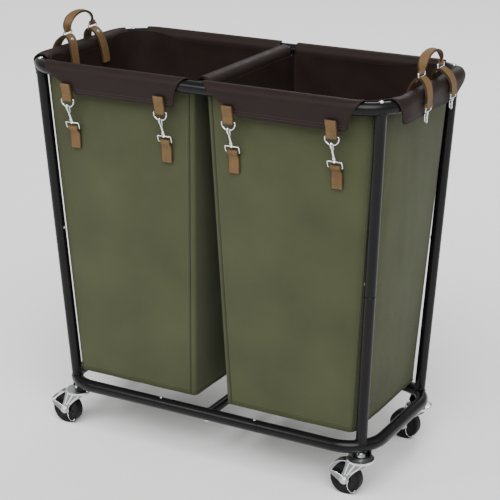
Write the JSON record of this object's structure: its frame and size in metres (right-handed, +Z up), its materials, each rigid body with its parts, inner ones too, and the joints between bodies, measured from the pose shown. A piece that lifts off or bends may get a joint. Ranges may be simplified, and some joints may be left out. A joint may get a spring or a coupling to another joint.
{
  "type": "laundry sorter cart",
  "caption": "Laundry sorter on casters: tapering black tube frame, hanging fabric bags side by side, folded rim flaps clipped by snap hooks, leather strap handles on the ends.",
  "frame": {"origin": "on the floor, under the middle of the frame", "axes": "+Z up, +X to the right of someone who faces the front, -Y towards the front; the casters trail towards -X at rest"},
  "size_m": [0.828, 0.426, 0.8585],
  "materials": {
    "black_steel": "satin black powder coat",
    "chrome": "bright plated steel",
    "tyre_rubber": "matte black rubber on a black hub",
    "olive_fabric": "coated woven fabric, olive green",
    "brown_flap": "matte dark brown imitation leather",
    "tan_leather": "tan imitation leather with cut edges"
  },
  "bodies": {
    "frame": {"base_end_left": "black_steel", "top_end_left": "black_steel", "base_end_right": "black_steel", "top_end_right": "black_steel", "base_rail_front": "black_steel", "top_rail_front": "black_steel", "base_rail_rear": "black_steel", "top_rail_rear": "black_steel", "base_crossbar": "black_steel", "top_crossbar": "black_steel", "post_lower_front_left": "black_steel", "post_upper_front_left": "black_steel", "caster_plate_front_left": "chrome", "post_lower_front_right": "black_steel", "post_upper_front_right": "black_steel", "caster_plate_front_right": "chrome", "post_lower_rear_left": "black_steel", "post_upper_rear_left": "black_steel", "caster_plate_rear_left": "chrome", "post_lower_rear_right": "black_steel", "post_upper_rear_right": "black_steel", "caster_plate_rear_right": "chrome", "bag_left": "olive_fabric", "bag_floor_left": "olive_fabric", "collar_left": "brown_flap", "handle_saddle_left_front": "tan_leather", "handle_saddle_left_rear": "tan_leather", "bag_right": "olive_fabric", "bag_floor_right": "olive_fabric", "collar_right": "brown_flap", "handle_saddle_right_front": "tan_leather", "handle_saddle_right_rear": "tan_leather"},
    "fork_front_left": {"caster_fork_front_left": "chrome", "caster_axle_front_left": "chrome"},
    "wheel_front_left": {"caster_wheel_front_left": "tyre_rubber"},
    "brake_front_left": {"brake_pedal_front_left": "chrome"},
    "fork_front_right": {"caster_fork_front_right": "chrome", "caster_axle_front_right": "chrome"},
    "wheel_front_right": {"caster_wheel_front_right": "tyre_rubber"},
    "brake_front_right": {"brake_pedal_front_right": "chrome"},
    "fork_rear_left": {"caster_fork_rear_left": "chrome", "caster_axle_rear_left": "chrome"},
    "wheel_rear_left": {"caster_wheel_rear_left": "tyre_rubber"},
    "fork_rear_right": {"caster_fork_rear_right": "chrome", "caster_axle_rear_right": "chrome"},
    "wheel_rear_right": {"caster_wheel_rear_right": "tyre_rubber"},
    "handle_left": {"handle_loop_left": "tan_leather"},
    "strap_hook_left_front": {"handle_hook_left_front": "chrome"},
    "clip_left_front_left": {"snap_hook_left_front_left": "chrome"},
    "clip_left_front_right": {"snap_hook_left_front_right": "chrome"},
    "strap_hook_left_rear": {"handle_hook_left_rear": "chrome"},
    "clip_left_rear_left": {"snap_hook_left_rear_left": "chrome"},
    "clip_left_rear_right": {"snap_hook_left_rear_right": "chrome"},
    "handle_right": {"handle_loop_right": "tan_leather"},
    "strap_hook_right_front": {"handle_hook_right_front": "chrome"},
    "clip_right_front_left": {"snap_hook_right_front_left": "chrome"},
    "clip_right_front_right": {"snap_hook_right_front_right": "chrome"},
    "strap_hook_right_rear": {"handle_hook_right_rear": "chrome"},
    "clip_right_rear_left": {"snap_hook_right_rear_left": "chrome"},
    "clip_right_rear_right": {"snap_hook_right_rear_right": "chrome"}
  },
  "joints": [
    {"name": "swivel_front_left", "type": "hinge", "parent": "frame", "child": "fork_front_left", "pos_m": [-0.33103, -0.13903, 0.08], "axis": [0, 0, 1], "continuous": true},
    {"name": "spin_front_left", "type": "hinge", "parent": "fork_front_left", "child": "wheel_front_left", "pos_m": [-0.36003, -0.13903, 0.0315], "axis": [0, 1, 0], "continuous": true},
    {"name": "press_front_left", "type": "hinge", "parent": "fork_front_left", "child": "brake_front_left", "pos_m": [-0.35303, -0.13903, 0.07], "axis": [0, -1, 0], "range_deg": [0, 7]},
    {"name": "swivel_front_right", "type": "hinge", "parent": "frame", "child": "fork_front_right", "pos_m": [0.33103, -0.13903, 0.08], "axis": [0, 0, 1], "continuous": true},
    {"name": "spin_front_right", "type": "hinge", "parent": "fork_front_right", "child": "wheel_front_right", "pos_m": [0.30203, -0.13903, 0.0315], "axis": [0, 1, 0], "continuous": true},
    {"name": "press_front_right", "type": "hinge", "parent": "fork_front_right", "child": "brake_front_right", "pos_m": [0.30903, -0.13903, 0.07], "axis": [0, -1, 0], "range_deg": [0, 7]},
    {"name": "swivel_rear_left", "type": "hinge", "parent": "frame", "child": "fork_rear_left", "pos_m": [-0.33103, 0.13903, 0.08], "axis": [0, 0, 1], "continuous": true},
    {"name": "spin_rear_left", "type": "hinge", "parent": "fork_rear_left", "child": "wheel_rear_left", "pos_m": [-0.36003, 0.13903, 0.0315], "axis": [0, 1, 0], "continuous": true},
    {"name": "swivel_rear_right", "type": "hinge", "parent": "frame", "child": "fork_rear_right", "pos_m": [0.33103, 0.13903, 0.08], "axis": [0, 0, 1], "continuous": true},
    {"name": "spin_rear_right", "type": "hinge", "parent": "fork_rear_right", "child": "wheel_rear_right", "pos_m": [0.30203, 0.13903, 0.0315], "axis": [0, 1, 0], "continuous": true},
    {"name": "fold_left", "type": "hinge", "parent": "frame", "child": "handle_left", "pos_m": [-0.39, 0, 0.821], "axis": [0, 1, 0], "range_deg": [-70, 70]},
    {"name": "strap_swing_left_front", "type": "hinge", "parent": "frame", "child": "strap_hook_left_front", "pos_m": [-0.412, -0.058, 0.767], "axis": [0, 1, 0], "range_deg": [0, 60]},
    {"name": "clip_swing_left_front_left", "type": "hinge", "parent": "frame", "child": "clip_left_front_left", "pos_m": [-0.286, -0.185, 0.668], "axis": [1, 0, 0], "range_deg": [0, 110]},
    {"name": "clip_swing_left_front_right", "type": "hinge", "parent": "frame", "child": "clip_left_front_right", "pos_m": [-0.074, -0.185, 0.668], "axis": [1, 0, 0], "range_deg": [0, 110]},
    {"name": "strap_swing_left_rear", "type": "hinge", "parent": "frame", "child": "strap_hook_left_rear", "pos_m": [-0.412, 0.058, 0.767], "axis": [0, 1, 0], "range_deg": [0, 60]},
    {"name": "clip_swing_left_rear_left", "type": "hinge", "parent": "frame", "child": "clip_left_rear_left", "pos_m": [-0.286, 0.185, 0.668], "axis": [-1, 0, 0], "range_deg": [0, 110]},
    {"name": "clip_swing_left_rear_right", "type": "hinge", "parent": "frame", "child": "clip_left_rear_right", "pos_m": [-0.074, 0.185, 0.668], "axis": [-1, 0, 0], "range_deg": [0, 110]},
    {"name": "fold_right", "type": "hinge", "parent": "frame", "child": "handle_right", "pos_m": [0.39, 0, 0.821], "axis": [0, 1, 0], "range_deg": [-70, 70]},
    {"name": "strap_swing_right_front", "type": "hinge", "parent": "frame", "child": "strap_hook_right_front", "pos_m": [0.412, -0.058, 0.767], "axis": [0, -1, 0], "range_deg": [0, 60]},
    {"name": "clip_swing_right_front_left", "type": "hinge", "parent": "frame", "child": "clip_right_front_left", "pos_m": [0.074, -0.185, 0.668], "axis": [1, 0, 0], "range_deg": [0, 110]},
    {"name": "clip_swing_right_front_right", "type": "hinge", "parent": "frame", "child": "clip_right_front_right", "pos_m": [0.286, -0.185, 0.668], "axis": [1, 0, 0], "range_deg": [0, 110]},
    {"name": "strap_swing_right_rear", "type": "hinge", "parent": "frame", "child": "strap_hook_right_rear", "pos_m": [0.412, 0.058, 0.767], "axis": [0, -1, 0], "range_deg": [0, 60]},
    {"name": "clip_swing_right_rear_left", "type": "hinge", "parent": "frame", "child": "clip_right_rear_left", "pos_m": [0.074, 0.185, 0.668], "axis": [-1, 0, 0], "range_deg": [0, 110]},
    {"name": "clip_swing_right_rear_right", "type": "hinge", "parent": "frame", "child": "clip_right_rear_right", "pos_m": [0.286, 0.185, 0.668], "axis": [-1, 0, 0], "range_deg": [0, 110]}
  ]
}
